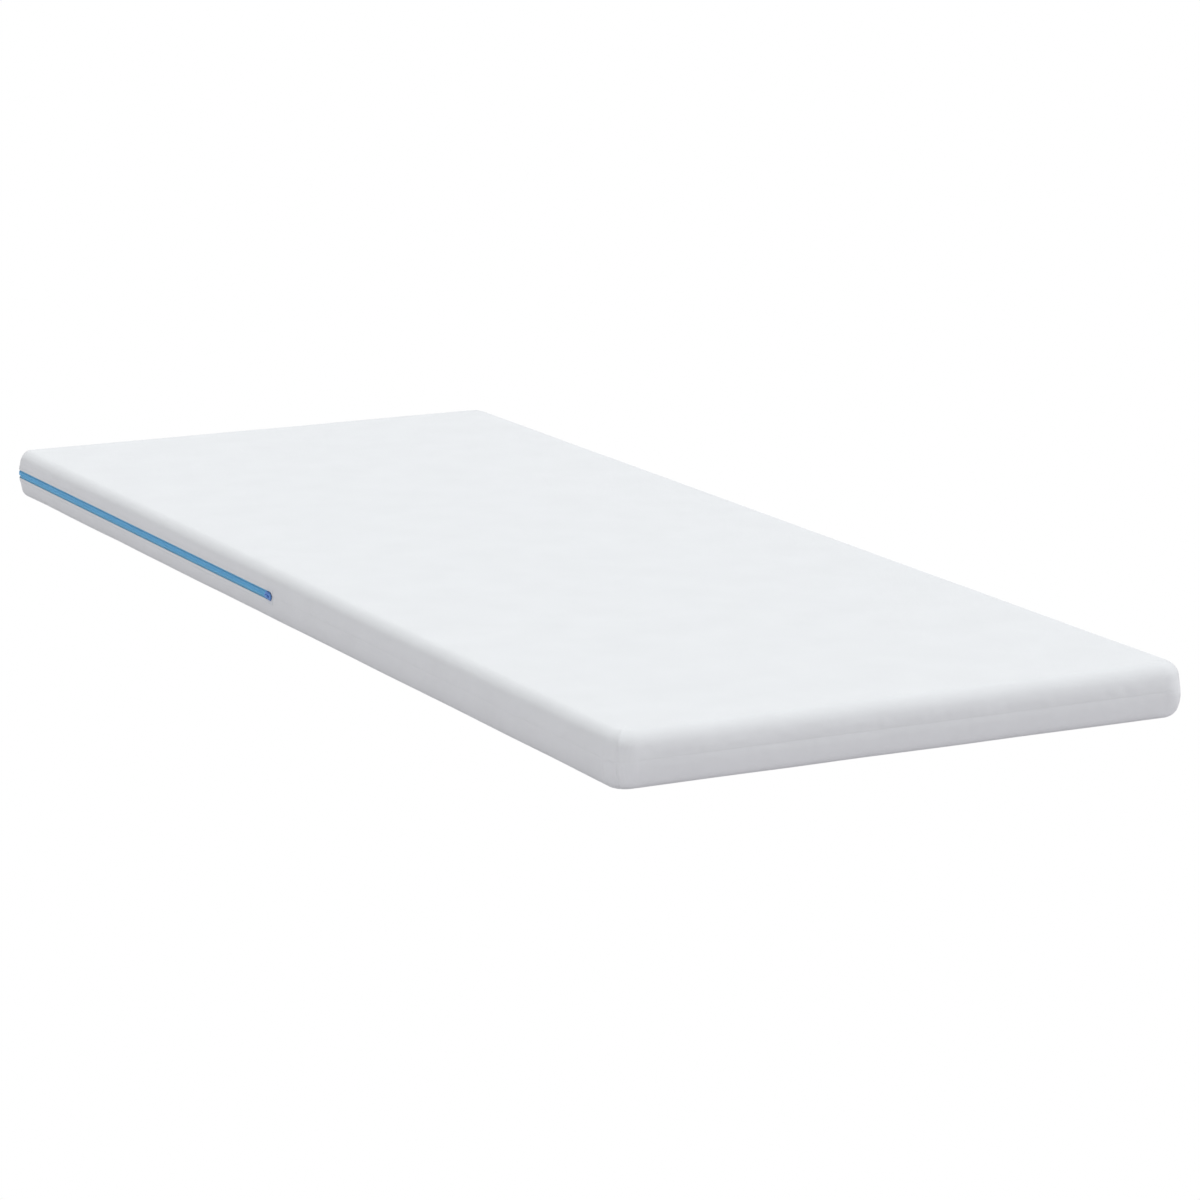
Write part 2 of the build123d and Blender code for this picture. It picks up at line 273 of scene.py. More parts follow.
def lattice(rows, columns, wrap=False):
    """The four-sided faces of a grid of points, joined round its columns if wrap is set."""
    last = columns if wrap else columns - 1
    row, column = np.meshgrid(np.arange(rows - 1), np.arange(last), indexing="ij")
    here = row * columns
    after = (column + 1) % columns
    quads = [here + column, here + after, here + columns + after, here + columns + column]
    return np.stack(quads, axis=-1).reshape(-1, 4)


def unit(vectors):
    return vectors / np.linalg.norm(vectors, axis=-1, keepdims=True)


def normals(piece):
    """The direction out of a piece at each of its points."""
    values = np.zeros(len(piece.data.vertices) * 3)
    piece.data.vertices.foreach_get("normal", values)
    return values.reshape(-1, 3)


def search_tree(piece):
    """A tree of a piece's faces, which finds where a line meets them."""
    points = [vertex.co for vertex in piece.data.vertices]
    return BVHTree.FromPolygons(points, [list(face.vertices) for face in piece.data.polygons])


def strands(name, lines, aside, radius, sides, taper):
    """Closed tubes along many lines at once; taper gives the radius at each step as a share of the whole."""
    count, steps, _ = lines.shape
    ahead = np.gradient(lines, axis=1)
    across = unit(np.cross(ahead, aside))
    up = unit(np.cross(ahead, across))
    angle = np.arange(sides) * 2 * math.pi / sides
    ring = across[:, :, None] * np.cos(angle)[:, None] + up[:, :, None] * np.sin(angle)[:, None]
    wide = radius * np.asarray(taper, float)[None, :, None, None]
    points = (lines[:, :, None] + wide * ring).reshape(-1, 3)
    tube = lattice(steps, sides, wrap=True)
    first = np.arange(sides)
    last = (steps - 1) * sides + first[::-1]
    faces = []
    for start in np.arange(count) * steps * sides:
        faces += (tube + start).tolist()
        faces += [(first + start).tolist(), (last + start).tolist()]
    return make(name, points, faces)


# Materials

def material(name, colour, roughness, specular=0.3, sheen=0.0):
    """A material with its plain values set on the shader; returns it with its tree and its shader."""
    made = bpy.data.materials.new(name)
    made.use_nodes = True
    shader = made.node_tree.nodes["Principled BSDF"]
    shader.inputs["Base Color"].default_value = (*colour, 1)
    shader.inputs["Roughness"].default_value = roughness
    shader.inputs["Specular IOR Level"].default_value = specular
    shader.inputs["Sheen Weight"].default_value = sheen
    shader.inputs["Sheen Roughness"].default_value = 0.5
    return made, made.node_tree, shader


def add(tree, kind, links=(), **settings):
    """A node with its settings; links gives (input, socket or value)."""
    node = tree.nodes.new(kind)
    for key, value in settings.items():
        setattr(node, key, value)
    for key, value in links:
        if isinstance(value, bpy.types.NodeSocket):
            tree.links.new(value, node.inputs[key])
        else:
            node.inputs[key].default_value = value
    return node


def maths(tree, operation, *values):
    """The result of a maths node on sockets or numbers."""
    return add(tree, "ShaderNodeMath", list(enumerate(values)), operation=operation).outputs[0]


def weighed(tree, level, *shares):
    """A level plus each socket times its weight."""
    for socket, weight in shares:
        level = maths(tree, "MULTIPLY_ADD", socket, weight, level)
    return level


def wave(tree, kind, socket, turns):
    """The sine or cosine of a socket that goes through a number of turns in each unit."""
    return maths(tree, kind, maths(tree, "MULTIPLY", socket, 2 * math.pi * turns))


def grain(tree, where, cells, detail=2.0):
    """A noise value with a number of cells to the metre."""
    links = [("Vector", where), ("Scale", cells), ("Detail", detail)]
    return add(tree, "ShaderNodeTexNoise", links).outputs["Fac"]


def tint(tree, shader, amount, dark, light):
    """Colours the shader between two colours by an amount from 0 to 1."""
    mix = add(tree, "ShaderNodeMix", data_type="RGBA")
    factor = [socket for socket in mix.inputs if socket.name == "Factor" and socket.type == "VALUE"][0]
    ends = [socket for socket in mix.inputs if socket.type == "RGBA"]
    tree.links.new(amount, factor)
    ends[0].default_value = (*dark, 1)
    ends[1].default_value = (*light, 1)
    result = [socket for socket in mix.outputs if socket.type == "RGBA"][0]
    tree.links.new(result, shader.inputs["Base Color"])


def raise_surface(tree, shader, height, depth):
    """Bumps the shader by a height from 0 to 1 that stands for a depth in metres."""
    bump = add(tree, "ShaderNodeBump", [("Height", height), ("Distance", depth), ("Strength", 1.0)])
    tree.links.new(bump.outputs[0], shader.inputs["Normal"])


def shaded(colour, factor):
    return tuple(min(1.0, part * factor) for part in colour)


def on_object(tree):
    return add(tree, "ShaderNodeTexCoord").outputs["Object"]


def on_weave(tree):
    """The place on the fabric, and each of its two coordinates."""
    where = add(tree, "ShaderNodeUVMap", uv_map="weave").outputs[0]
    split = add(tree, "ShaderNodeSeparateXYZ", [("Vector", where)]).outputs
    return where, split[0], split[1]


def knit(name, colour, wale, course, depth):
    """A jersey knit: columns of small V-shaped loops, with a faint cloudiness in colour and painted shade,
    darker where the loops' bump is low.
    """
    made, tree, shader = material(name, colour, roughness=0.9, specular=0.15, sheen=0.1)
    where, across, along = on_weave(tree)
    column = maths(tree, "FRACT", maths(tree, "MULTIPLY", across, 1 / wale))
    slant = maths(tree, "ABSOLUTE", maths(tree, "SUBTRACT", column, 0.5))
    row = maths(tree, "MULTIPLY_ADD", along, 1 / course, slant)
    rib = wave(tree, "COSINE", slant, turns=1)
    loop = wave(tree, "SINE", row, turns=1)
    fuzz = grain(tree, where, cells=900, detail=3)
    cloud = grain(tree, where, cells=14, detail=4)
    height = weighed(tree, 0.5, (rib, -0.2), (loop, 0.25), (fuzz, 0.3))
    # The colour mixes random cloudiness with painted shade in the hollows of the knit, darker where its bump
    # is low
    cloud_and_painted_shade = weighed(tree, 0.0, (height, 0.4), (cloud, 0.6))
    tint(tree, shader, cloud_and_painted_shade, shaded(colour, 0.94), shaded(colour, 1.05))
    raise_surface(tree, shader, height, depth)
    return made


def woven(name, colour, pitch, depth):
    """A ribbed tape weave with a herringbone slant, its colour painted darker as shade in the grooves between
    ribs, with random fuzz in tone.
    """
    made, tree, shader = material(name, colour, roughness=0.75, specular=0.25, sheen=0.15)
    where, along, across = on_weave(tree)
    slant = maths(tree, "ADD", along, maths(tree, "PINGPONG", across, 2 * pitch))
    rib = wave(tree, "SINE", slant, turns=1 / pitch)
    fuzz = grain(tree, where, cells=1200)
    height = weighed(tree, 0.3, (fuzz, 0.4), (rib, 0.3))
    # Painted shade: the colour follows the bump, darker in the grooves between ribs, mixed with random fuzz
    tint(tree, shader, height, shaded(colour, 0.78), shaded(colour, 1.12))
    raise_surface(tree, shader, height, depth)
    return made


def thread(name, colour):
    """Spun thread with a twist too fine to model; its colour is darker where the twist's bump is low, painted
    shade mixed with random tone.
    """
    made, tree, shader = material(name, colour, roughness=0.8, specular=0.2, sheen=0.2)
    twist = grain(tree, on_object(tree), cells=2500)
    # Partly painted shade: the colour darkens where the twist's bump is low, and partly random tone
    tint(tree, shader, twist, shaded(colour, 0.85), shaded(colour, 1.06))
    raise_surface(tree, shader, twist, depth=0.0001)
    return made


def nylon(name, colour):
    """Satin moulded nylon."""
    made, tree, shader = material(name, colour, roughness=0.42, specular=0.4)
    cloud = grain(tree, on_object(tree), cells=300)
    tint(tree, shader, cloud, shaded(colour, 0.9), shaded(colour, 1.08))
    tree.links.new(weighed(tree, 0.32, (cloud, 0.2)), shader.inputs["Roughness"])
    return made


def lacquer(name, colour, worn):
    """Lacquered die-cast metal, with specks where the colour has rubbed thin."""
    made, tree, shader = material(name, colour, roughness=0.5, specular=0.25)
    where = on_object(tree)
    speck = grain(tree, where, cells=1500, detail=4)
    rubbed = add(tree, "ShaderNodeMapRange", [("Value", speck), ("From Min", 0.62), ("From Max", 0.74)])
    tint(tree, shader, rubbed.outputs[0], colour, worn)
    handled = weighed(tree, 0.38, (grain(tree, where, cells=400), 0.25))
    tree.links.new(handled, shader.inputs["Roughness"])
    raise_surface(tree, shader, speck, depth=0.00005)
    return made


def foam(name, colour, cells):
    """Open-cell foam: small pits of mixed size, painted darker inside as shade, with a faint random
    cloudiness.
    """
    made, tree, shader = material(name, colour, roughness=0.95, specular=0.1, sheen=0.1)
    where = on_object(tree)
    pits = add(tree, "ShaderNodeTexVoronoi", [("Vector", where), ("Scale", cells)]).outputs["Distance"]
    cloud = grain(tree, where, cells=60, detail=3)
    # Painted shade: the colour darkens inside the pits, where the bump is low, mixed with random cloudiness
    cloud_and_painted_shade = weighed(tree, 0.0, (cloud, 0.5), (pits, 0.6))
    tint(tree, shader, cloud_and_painted_shade, shaded(colour, 0.82), shaded(colour, 1.05))
    raise_surface(tree, shader, pits, depth=0.0006)
    return made


LACQUER_BLUE = (0.105, 0.260, 0.635)
LACQUER_WORN = (0.160, 0.335, 0.680)
cover_fabric = knit("cover_fabric", (0.745, 0.765, 0.785), wale=0.0014, course=0.0011, depth=0.0003)
sock_fabric = knit("sock_fabric", (0.74, 0.74, 0.72), wale=0.0020, course=0.0016, depth=0.0003)
white_thread = thread("white_thread", (0.77, 0.785, 0.805))
zip_tape = woven("zip_tape", (0.19, 0.59, 0.91), pitch=0.0012, depth=0.0002)
zip_coil = nylon("zip_coil", (0.143, 0.50, 0.82))
zip_stop = lacquer("zip_stop", LACQUER_BLUE, LACQUER_WORN)
zip_slider = lacquer("zip_slider", LACQUER_BLUE, LACQUER_WORN)
memory_foam = foam("memory_foam", (0.80, 0.77, 0.66), cells=900)
support_foam = foam("support_foam", (0.82, 0.82, 0.79), cells=600)
bond_film = foam("bond_film", (0.76, 0.70, 0.52), cells=300)


def finish_piece(piece, made, node):
    """Gives a piece its material and its body, and hides the node that it stands for."""
    piece.data.materials.append(made)
    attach(piece, "mattress")
    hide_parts(node)
    return piece


# Sheets: rings round the form, from an edge on its wall to a flat middle

def grid_of(across, along, parts, corner_steps, more_lines=()):
    """A sheet's lines across and along, its parts for each step between them, and its steps at a corner."""
    x_lines = np.linspace(-SPINE_X, SPINE_X, across + 1)
    y_lines = np.linspace(-SPINE_Y, SPINE_Y, along + 1)
    return x_lines, np.sort(np.concatenate([y_lines, more_lines])), parts, corner_steps


def divided(values, parts):
    """The values with each step between them cut into equal parts."""
    steps = np.arange((len(values) - 1) * parts + 1) / parts
    return np.interp(steps, np.arange(len(values)), values)


def sheet_columns(x_lines, y_lines, parts, corner_steps):
    """Spine point and outward direction of each column of a sheet, closer together by the corner seams."""
    across = divided(x_lines, parts)
    along = divided(y_lines, parts)
    sides = (
        ([(-SPINE_X, y) for y in along], math.pi),
        ([(x, SPINE_Y) for x in across], math.pi / 2),
        ([(SPINE_X, y) for y in along[::-1]], 0.0),
        ([(x, -SPINE_Y) for x in across[::-1]], -math.pi / 2),
    )
    base, angle = [], []
    for points, facing in sides:
        base += points
        angle += [facing] * len(points)
        for step in np.linspace(-1, 1, corner_steps + 1)[1:-1]:
            turned = math.copysign(abs(step) ** CORNER_CLOSENESS, step)
            base.append(points[-1])
            angle.append(facing - math.pi / 4 * (1 + turned))
    angle = np.array(angle)
    return np.array(base), np.stack([np.cos(angle), np.sin(angle)], axis=1)


def section(way, depth, flat_depth, start, wall_steps, edge_steps):
    """Reach and rise of a layer from a start on its wall, over its rounded edge, to its flat face."""
    crown = CROWN - depth
    radius = EDGE[way] - depth
    face = (THICKNESS - SEAM if way == UPPER else SEAM) - flat_depth
    lean = math.asin((face - radius) / (crown - radius))
    middle = (CORNER - CROWN + (crown - radius) * math.cos(lean), (crown - radius) * math.sin(lean))
    first = np.arcsin(start / crown)
    reach, rise = [], []
    for share in np.linspace(0, 1, wall_steps, endpoint=False):
        turn = first + (lean - first) * share
        reach.append(CORNER - CROWN + crown * np.cos(turn))
        rise.append(crown * np.sin(turn))
    for turn in np.linspace(lean, math.pi / 2, edge_steps):
        reach.append(np.full_like(start, middle[0] + radius * math.cos(turn)))
        rise.append(np.full_like(start, middle[1] + radius * math.sin(turn)))
    for share in FLAT_RINGS:
        reach.append(np.full_like(start, middle[0] * share))
        rise.append(np.full_like(start, face))
    return np.array(reach), np.array(rise)


def sheet_faces(grid, rings, columns):
    """The faces of a sheet's rings, of its flat middle, and of the strip that joins the two."""
    x_lines, y_lines, parts, corner_steps = grid
    nx, ny = len(x_lines), len(y_lines)
    rim = (rings - 1) * columns
    middle = rings * columns
    faces = lattice(rings, columns, wrap=True).tolist()
    faces += (lattice(ny, nx)[:, ::-1] + middle).tolist()
    left = np.arange(ny) * nx
    far = (ny - 1) * nx + np.arange(nx)
    right = left[::-1] + nx - 1
    near = np.arange(nx)[::-1]
    at = 0
    for side in (left, far, right, near):
        inner = (middle + side).tolist()
        for step in range(len(side) - 1):
            outer = (at + step * parts + np.arange(parts + 1)) % columns + rim
            faces.append([*outer.tolist(), inner[step + 1], inner[step]])
        at += (len(side) - 1) * parts
        for step in range(corner_steps):
            faces.append([(at + step) % columns + rim, (at + step + 1) % columns + rim, inner[-1]])
        at += corner_steps
    return faces


def half_sheet(way, grid, reach, rise, fold_ring=0):
    """A sheet in rings of given reach and rise: its points, its faces, and what weave and creases need."""
    base, out = sheet_columns(*grid)
    rings, columns = reach.shape
    plan = base[None] + out[None] * reach[:, :, None]
    wall = np.concatenate([plan, (SEAM + way * rise)[:, :, None]], axis=2).reshape(-1, 3)
    flat_y, flat_x = np.meshgrid(grid[1], grid[0], indexing="ij")
    flat_z = np.full(flat_x.shape, SEAM + way * rise[-1, 0])
    flat = np.stack([flat_x, flat_y, flat_z], axis=-1).reshape(-1, 3)
    faces = [face[::-way] for face in sheet_faces(grid, rings, columns)]
    steps = np.hypot(np.diff(reach, axis=0), np.diff(rise, axis=0))
    over = np.concatenate([np.cumsum(steps[::-1], axis=0)[::-1], np.zeros((1, columns))]) + reach[-1]
    nothing = np.zeros(len(flat))
    facts = {
        "base": np.concatenate([np.tile(base, (rings, 1)), flat[:, :2]]),
        "out": np.concatenate([np.tile(out, (rings, 1)), np.zeros((len(flat), 2))]),
        "corner": np.concatenate([np.tile(corner_share(out), rings), nothing]),
        "reach": np.concatenate([reach.ravel(), nothing]),
        "rise": np.concatenate([rise.ravel(), np.full(len(flat), rise[-1, 0])]),
        "over": np.concatenate([over.ravel(), nothing]),
        "from_fold": np.concatenate([(over[fold_ring] - over).ravel(), np.full(len(flat), HALF_WIDTH)]),
    }
    return np.concatenate([wall, flat]), faces, facts


def unrolled(facts):
    """Places on the fabric in metres: down each side from the flat sheet, parted along the corner seams."""
    base, out = facts["base"], facts["out"]
    sign = np.sign(base)
    bent_side = facts["reach"] * np.arctan2(abs(out[:, 1]), abs(out[:, 0]))
    bent_end = facts["reach"] * np.arctan2(abs(out[:, 0]), abs(out[:, 1]))
    on_side = base + sign * np.column_stack([facts["over"], bent_side])
    on_end = base + sign * np.column_stack([bent_end, facts["over"]])

    def read(mesh, corners):
        middle = np.zeros(len(mesh.polygons) * 3)
        total = np.zeros(len(mesh.polygons), int)
        mesh.polygons.foreach_get("center", middle)
        mesh.polygons.foreach_get("loop_total", total)
        past = abs(middle.reshape(-1, 3)[:, :2]) - (SPINE_X, SPINE_Y)
        at_end = np.repeat(past[:, 1] > past[:, 0], total)
        return np.where(at_end[:, None], on_end[corners], on_side[corners])

    return read


# Cover halves

def edge_and_fold(way, grid):
    """How far each column's edge stands from the seam, and the radius of its fold, sewn or beside the zip."""
    y = sheet_columns(*grid)[0][:, 1]
    share = np.clip((y - ZIP_END) / SLOT_ROUNDING, 0, 1)
    opened = np.sqrt(1 - (1 - share) ** 2)
    return SEWN_GAP + (ZIP_GAP[way] - SEWN_GAP) * opened, SEWN_FOLD + (ZIP_FOLD - SEWN_FOLD) * opened


def hem_and_fold(edge, fold):
    """Reach and rise of the turned-in hem and the fold that the cover's edge makes."""
    outer = wall_reach(edge + fold)
    reach = [outer - 2 * fold, outer - 2 * fold]
    rise = [edge + HEM_DEPTH, edge + HEM_DEPTH / 2]
    for turn in np.linspace(math.pi, 2 * math.pi, FOLD_STEPS, endpoint=False):
        reach.append(outer - fold + fold * math.cos(turn))
        rise.append(edge + fold + fold * math.sin(turn))
    return np.array(reach), np.array(rise)


def cover_rings(way, grid, steps, slack=0.0):
    """Reach and rise of a half of the cover from the top of its fold; with slack its walls lie drawn in."""
    start = sum(edge_and_fold(way, grid))
    reach, rise = section(way, slack, 0.0, start, *steps)
    if slack:
        reach[0] = wall_reach(start) - FOLD_DRAWN_IN
    return reach, rise


def swollen(points, faces, held_points):
    """The points after the walls have filled out in a cloth simulation between the points that are held."""
    piece = make("swelling", points, faces)
    held = piece.vertex_groups.new(name="held")
    held.add(held_points, 1.0, "REPLACE")
    cloth = piece.modifiers.new("cloth", "CLOTH")
    for key, value in CLOTH.items():
        setattr(cloth.settings, key, value)
    cloth.settings.vertex_group_mass = held.name
    cloth.settings.effector_weights.gravity = 0
    cloth.collision_settings.use_collision = False
    scene = bpy.context.scene
    for step in range(1, SWELL_FRAMES + 1):
        scene.frame_set(step)
    shown = piece.evaluated_get(bpy.context.evaluated_depsgraph_get()).to_mesh()
    moved = np.zeros(len(points) * 3)
    shown.vertices.foreach_get("co", moved)
    scene.frame_set(1)
    bpy.data.objects.remove(piece)
    return moved.reshape(-1, 3)


def carried(points, form, shift, faces):
    """The shift of a coarse sheet, read at the points of a finer one."""
    corners = [Vector(point) for point in form]
    tree = BVHTree.FromPolygons(corners, faces)
    read = np.zeros((len(points), 3))
    for i, point in enumerate(points):
        spot, _, face, _ = tree.find_nearest(Vector(point))
        ring = faces[face]
        read[i] = np.dot(poly_3d_calc([corners[k] for k in ring], spot), shift[ring])
    return read


def filled_out(way, points):
    """How far the points of a half move when the slack walls of a coarser half fill out."""
    grid = grid_of(*SWELL_COUNTS)
    form_rings = cover_rings(way, grid, SWELL_STEPS)
    form, faces, _ = half_sheet(way, grid, *form_rings)
    slack = half_sheet(way, grid, *cover_rings(way, grid, SWELL_STEPS, SWELL_ROOM))[0]
    columns = form_rings[0].shape[1]
    flat_start = (sum(SWELL_STEPS) - 1) * columns
    full = swollen(slack, faces, [*range(columns), *range(flat_start, len(slack))])
    pattern = make("pattern", form, faces)
    out = normals(pattern)
    bpy.data.objects.remove(pattern)
    amount = np.sum((full - form) * out, axis=1, keepdims=True)
    return carried(points, form, np.clip(amount, *SWELL_LIMITS) * out, faces)


def rough(points, cells):
    """Smooth noise from -1 to 1 at points, with a number of cells to the metre."""
    return np.array([noise.noise(Vector(point) * cells) for point in points])


def creases(way, points, facts):
    """How far each point of a half stands out: puckers by its edge, slow waves, and its sewn corners."""
    from_fold = np.clip(facts["from_fold"], 0, None)
    near = from_fold / PUCKER_REACH
    pucker = PUCKER * rough(points, PUCKER_CELLS) * near * np.exp(1 - near)
    waves = WAVE * rough(points, WAVE_CELLS) * np.clip(from_fold / WAVE_REACH, 0, 1)
    beside = (1 - facts["corner"]) / CORNER_GROOVE_SHARE
    groove = CORNER_GROOVE * np.exp(-np.square(beside)) * (from_fold > 0)
    if way == UPPER:
        lift = np.interp(facts["rise"], CORNER_PEAK_RISE, (0, 1)) * np.clip(facts["reach"] / CORNER, 0, 1)
        fuller = CORNER_PEAK * lift * facts["corner"] ** CORNER_PEAK_POWER
    else:
        past = from_fold / END_LIP_REACH
        at_end = np.square(np.clip(-facts["out"][:, 1], 0, 1))
        fuller = END_LIP * at_end * past * np.exp(1 - past)
    return pucker + waves + fuller - groove


def build_cover(way, name):
    """One half of the cover as a sheet filled out over the foam."""
    slot_turn = np.linspace(0, math.pi / 2, SLOT_LINES + 1)[1:]
    slot_lines = ZIP_END + SLOT_ROUNDING * (1 - np.cos(slot_turn))
    grid = grid_of(*COVER_COUNTS, more_lines=slot_lines)
    hem = hem_and_fold(*edge_and_fold(way, grid))
    wall = cover_rings(way, grid, COVER_STEPS)
    rings = [np.concatenate(part) for part in zip(hem, wall)]
    points, faces, facts = half_sheet(way, grid, *rings, fold_ring=len(hem[0]))
    points = points + filled_out(way, points)
    points[:, :2] += facts["out"] * fullness(facts["base"], facts["out"], points[:, 2])[:, None]
    piece = make(name, points, faces, uv=unrolled(facts))
    points = points + normals(piece) * creases(way, points, facts)[:, None]
    points[:, 2] = np.clip(points[:, 2], 0, None)
    piece.data.vertices.foreach_set("co", points.ravel())
    piece.data.update()
    return piece


covers = {}
for way, node in ((UPPER, "cover_top"), (LOWER, "cover_bottom")):
    covers[way] = build_cover(way, node + "_sheet")
    finish_piece(covers[way], cover_fabric, node)


# Threads

cover_trees = {way: search_tree(piece) for way, piece in covers.items()}


def seated(way, points, inward):
    """The points moved along a direction onto a half of the cover."""
    found = np.array(points)
    for i in np.ndindex(points.shape[:-1]):
        outside = Vector(points[i] - inward[i] * SEAT_REACH)
        spot = cover_trees[way].ray_cast(outside, Vector(inward[i]), 3 * SEAT_REACH)[0]
        if spot:
            found[i] = spot
    return found


def row_of(start, end, pitch):
    """Middles of stitches between two places, one pitch apart."""
    return np.arange(start + pitch / 2, end, pitch)


def stitch_row(way, middles, rise, length=STITCH_LENGTH):
    """Lines of stitches that lie along the side on a half of the cover, and the direction out of it."""
    along = np.asarray(middles)[:, None] + STITCH_STEPS * length / 2
    out = outward(along)
    rise = np.broadcast_to(np.asarray(rise, float).reshape(-1, 1), along.shape)
    found = seated(way, place(along, wall_reach(rise), SEAM + rise), -out)
    return found + out * (STITCH_ARCH * STITCH_BOW)[:, None], out


def sew(name, node, rows, aside, radius=THREAD):
    """Stitches of white thread along their lines, in one piece that stands for a node."""
    piece = strands(name, rows, aside, radius, THREAD_SIDES, STITCH_TAPER)
    finish_piece(piece, white_thread, node)


for way, node in ((UPPER, "zip_stitching_upper"), (LOWER, "zip_stitching_lower")):
    middles = row_of(STITCH_START, ZIP_LENGTH - STITCH_START, STITCH_PITCH)
    sew(node + "_row", node, *stitch_row(way, middles, way * STITCH_RISE))


def bartack(middle):
    """The short threads of one bar across an end of the zip."""
    rises = row_of(-BARTACK_RISE, BARTACK_RISE, BARTACK_PITCH)
    rows = []
    for way in (UPPER, LOWER):
        mine = rises[rises * way > 0]
        rows.append(stitch_row(way, np.full(len(mine), middle), mine, BARTACK_SPAN[1] - BARTACK_SPAN[0]))
    return [np.concatenate(part) for part in zip(*rows)]


bar_middle = sum(BARTACK_SPAN) / 2
bars = [np.concatenate(part) for part in zip(bartack(bar_middle), bartack(ZIP_LENGTH - bar_middle))]
sew("zip_end_bartack_bars", "zip_end_bartacks", *bars)

ladder_along = row_of(ZIP_LENGTH, AROUND, LADDER_PITCH)[:, None] + STITCH_STEPS * LADDER_LENGTH / 2
ladder_reach = wall_reach(0.0) - (LADDER_DEPTH - LADDER_ARCH * STITCH_BOW)
ladder = place(ladder_along, ladder_reach, SEAM + LADDER_SLANT * STITCH_STEPS)
sew("cover_seam_ladder", "cover_seam_thread", ladder, outward(ladder_along), LADDER_THREAD)


def corner_row(way):
    """Stitches up each corner of a half, over its rounded edge, and the direction out of it."""
    rings = section(way, 0.0, 0.0, np.array([0.0]), *CORNER_LINE_STEPS)
    reach, rise = [ring[:-len(FLAT_RINGS), 0] for ring in rings]
    on_line = reach > reach[-1] + CORNER_LINE_SETBACK
    reach, rise = reach[on_line], rise[on_line]
    over = np.concatenate([[0], np.cumsum(np.hypot(np.diff(reach), np.diff(rise)))])
    rows, normal_rows = [], []
    for corner_x, corner_y in ((1, 1), (-1, 1), (-1, -1), (1, -1)):
        out = np.array([corner_x, corner_y, 0]) * math.sqrt(0.5)
        low = CORNER_LINE_RISE["zipped" if corner_y > 0 else "sewn"]
        middles = row_of(np.interp(low, rise, over), over[-1], STITCH_PITCH)
        at = middles[:, None] + STITCH_STEPS * STITCH_LENGTH / 2
        spine = np.array([corner_x * SPINE_X, corner_y * SPINE_Y, SEAM])
        points = spine + out * np.interp(at, over, reach)[..., None]
        points[..., 2] += way * np.interp(at, over, rise)
        lean = np.interp(at, over, np.arctan2(np.gradient(-reach), np.gradient(rise)))
        normal = out * np.cos(lean)[..., None] + np.array([0, 0, way]) * np.sin(lean)[..., None]
        rows.append(seated(way, points, -normal) + normal * (STITCH_ARCH * STITCH_BOW)[:, None])
        normal_rows.append(normal)
    return np.concatenate(rows), np.concatenate(normal_rows)


for way, node in ((UPPER, "corner_stitching_top"), (LOWER, "corner_stitching_bottom")):
    sew(node + "_rows", node, *corner_row(way))


# Zip

def coil_line(way):
    """The wound line of one coil, which leads aside at the slider's wedge, and the direction along it."""
    coil_end = ZIP_LENGTH - COIL_START
    steps = int((coil_end - COIL_START) / COIL_PITCH * COIL_TURN_STEPS)
    along = np.linspace(COIL_START, coil_end, steps)
    turn = 2 * math.pi * along / COIL_PITCH + (0 if way == UPPER else math.pi)
    spread = COIL_SPREAD * np.clip((COIL_SPREAD_END - along) / (COIL_SPREAD_END - COIL_START), 0, 1)
    low, high = COIL_RISE
    rise = (low + high) / 2 - (high - low) / 2 * np.cos(turn) + spread
    depth = (COIL_OUTER + COIL_INNER) / 2 + ((COIL_INNER - COIL_OUTER) / 2 - COIL_WIRE) * np.sin(turn)
    points = place(along, wall_reach(rise, depth), SEAM + way * rise)
    out = outward(along)
    return points[None], np.stack([out[:, 1], -out[:, 0], out[:, 2]], axis=1)[None]


def tape_strip(way, name):
    """One woven tape as a thin strip with rounded edges."""
    low, high = TAPE_RISE
    half = (TAPE_INNER - TAPE_OUTER) / 2
    middle = (TAPE_INNER + TAPE_OUTER) / 2
    turn = np.linspace(0, math.pi, TAPE_EDGE_STEPS)
    low_edge = low + half - half * np.sin(turn)
    high_edge = high - half + half * np.sin(turn)
    face = np.linspace(low, high, TAPE_FACE_STEPS)[1:-1]
    inner = np.full(len(face), TAPE_INNER)
    outer = np.full(len(face), TAPE_OUTER)
    rise = np.concatenate([low_edge, face, high_edge, face[::-1]])
    depth = np.concatenate([middle - half * np.cos(turn), inner, middle + half * np.cos(turn), outer])
    along = np.linspace(TAPE_TAIL, ZIP_LENGTH - TAPE_TAIL, TAPE_STEPS)
    points = place(along[:, None], wall_reach(rise, depth), SEAM + way * rise)
    faces = lattice(len(along), len(rise), wrap=True)[:, ::-way].tolist()
    first = list(range(len(rise)))
    last = [(len(along) - 1) * len(rise) + k for k in reversed(first)]
    uv = np.stack(np.broadcast_arrays(along[:, None], rise), axis=-1).reshape(-1, 2)
    return make(name, points.reshape(-1, 3), faces + [first[::way], last[::way]], uv=uv)


for way, side in ((UPPER, "upper"), (LOWER, "lower")):
    tape = finish_piece(tape_strip(way, f"zip_tape_{side}_strip"), zip_tape, f"zip_tape_{side}")
    line, ahead = coil_line(way)
    coil = strands(f"zip_coil_{side}_turns", line, ahead, COIL_WIRE, COIL_SIDES, np.ones(line.shape[1]))
    finish_piece(coil, zip_coil, f"zip_coil_{side}")

for node, made in (
    ("zip_slider_body", zip_slider),
    ("zip_pull_tab", zip_slider),
    ("zip_top_stops", zip_stop),
    ("zip_bottom_stop", zip_stop),
):
    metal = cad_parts[node]
    for slot in metal.material_slots:
        slot.material = made
    soft_edges = metal.modifiers.new("soft_edges", "BEVEL")
    soft_edges.width = SOFT_EDGE
    soft_edges.segments = SOFT_EDGE_SEGMENTS


# Foam, film and sock inside the cover

